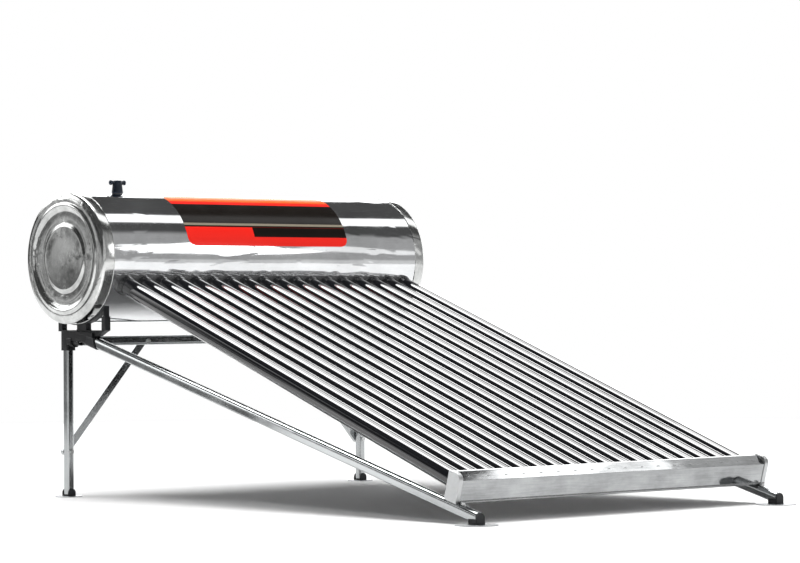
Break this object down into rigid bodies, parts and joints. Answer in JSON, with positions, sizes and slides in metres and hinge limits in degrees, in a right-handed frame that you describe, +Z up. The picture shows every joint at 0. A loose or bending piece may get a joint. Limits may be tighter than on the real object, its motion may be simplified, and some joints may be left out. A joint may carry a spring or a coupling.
{
  "type": "solar water heater",
  "caption": "Free-standing solar water heater: horizontal polished steel storage tank, sloping bank of black evacuated glass tubes, tail tray and steel frame on round foot discs.",
  "frame": {"origin": "on the ground, at the centre of the footprint", "axes": "+X along the tank, -Y towards the collector foot (the sunny side), +Z up"},
  "size_m": [1.436, 2.212, 1.0625],
  "materials": {
    "coated_glass": "clear glass over a black absorber coating",
    "mirror_steel": "polished",
    "foam": "matte",
    "inner_steel": "satin",
    "label": "gloss",
    "silicone": "satin",
    "rubber": "satin",
    "spring_steel": "satin",
    "grey_plastic": "matte",
    "tray_steel": "polished",
    "frame_steel": "polished",
    "black_plastic": "satin",
    "disc_steel": "satin",
    "zinc_fasteners": "satin"
  },
  "bodies": {
    "heater": {"cold_inlet": "inner_steel", "dust_rings": "rubber", "foot_screws": "zinc_fasteners", "frame_bolts": "zinc_fasteners", "frame_nuts": "zinc_fasteners", "front_foot_left": "black_plastic", "front_foot_right": "black_plastic", "getter_clips": "spring_steel", "hot_outlet": "inner_steel", "inner_tank": "inner_steel", "port_bushings": "rubber", "rear_brace_left": "frame_steel", "rear_brace_right": "frame_steel", "rear_crossbar": "frame_steel", "rear_foot_left": "black_plastic", "rear_foot_right": "black_plastic", "rear_leg_left": "frame_steel", "rear_leg_right": "frame_steel", "saddle_bracket_left": "black_plastic", "saddle_bracket_right": "black_plastic", "side_rail_left": "frame_steel", "side_rail_right": "frame_steel", "tail_tray": "tray_steel", "tank_end_cap_left": "mirror_steel", "tank_end_cap_right": "mirror_steel", "tank_insulation": "foam", "tank_label": "label", "tank_shell": "mirror_steel", "tray_bolts": "zinc_fasteners", "tray_end_left": "tray_steel", "tray_end_right": "tray_steel", "tube_seals": "silicone", "tube_tail_cups": "grey_plastic", "vacuum_tube_01": "coated_glass", "vacuum_tube_02": "coated_glass", "vacuum_tube_03": "coated_glass", "vacuum_tube_04": "coated_glass", "vacuum_tube_05": "coated_glass", "vacuum_tube_06": "coated_glass", "vacuum_tube_07": "coated_glass", "vacuum_tube_08": "coated_glass", "vacuum_tube_09": "coated_glass", "vacuum_tube_10": "coated_glass", "vacuum_tube_11": "coated_glass", "vacuum_tube_12": "coated_glass", "vacuum_tube_13": "coated_glass", "vacuum_tube_14": "coated_glass", "vacuum_tube_15": "coated_glass", "vacuum_tube_16": "coated_glass", "vacuum_tube_17": "coated_glass", "vacuum_tube_18": "coated_glass", "vent_stem": "inner_steel", "vent_washer": "rubber"},
    "vent_cap": {"vent_cap": "black_plastic"},
    "front_disc_left": {"front_foot_disc_left": "disc_steel"},
    "front_disc_right": {"front_foot_disc_right": "disc_steel"},
    "rear_disc_left": {"rear_foot_disc_left": "disc_steel"},
    "rear_disc_right": {"rear_foot_disc_right": "disc_steel"}
  },
  "joints": [
    {"name": "vent_cap_turn", "type": "hinge", "parent": "heater", "child": "vent_cap", "pos_m": [-0.49, 0.886, 1.03], "axis": [0, 0, 1], "range_deg": [0, 90]},
    {"name": "front_disc_left_swivel", "type": "hinge", "parent": "heater", "child": "front_disc_left", "pos_m": [-0.648, -1.042, 0.0015], "axis": [0, 0, 1], "continuous": true},
    {"name": "front_disc_right_swivel", "type": "hinge", "parent": "heater", "child": "front_disc_right", "pos_m": [0.648, -1.042, 0.0015], "axis": [0, 0, 1], "continuous": true},
    {"name": "rear_disc_left_swivel", "type": "hinge", "parent": "heater", "child": "rear_disc_left", "pos_m": [-0.648, 0.953, 0.0015], "axis": [0, 0, 1], "continuous": true},
    {"name": "rear_disc_right_swivel", "type": "hinge", "parent": "heater", "child": "rear_disc_right", "pos_m": [0.648, 0.953, 0.0015], "axis": [0, 0, 1], "continuous": true}
  ]
}
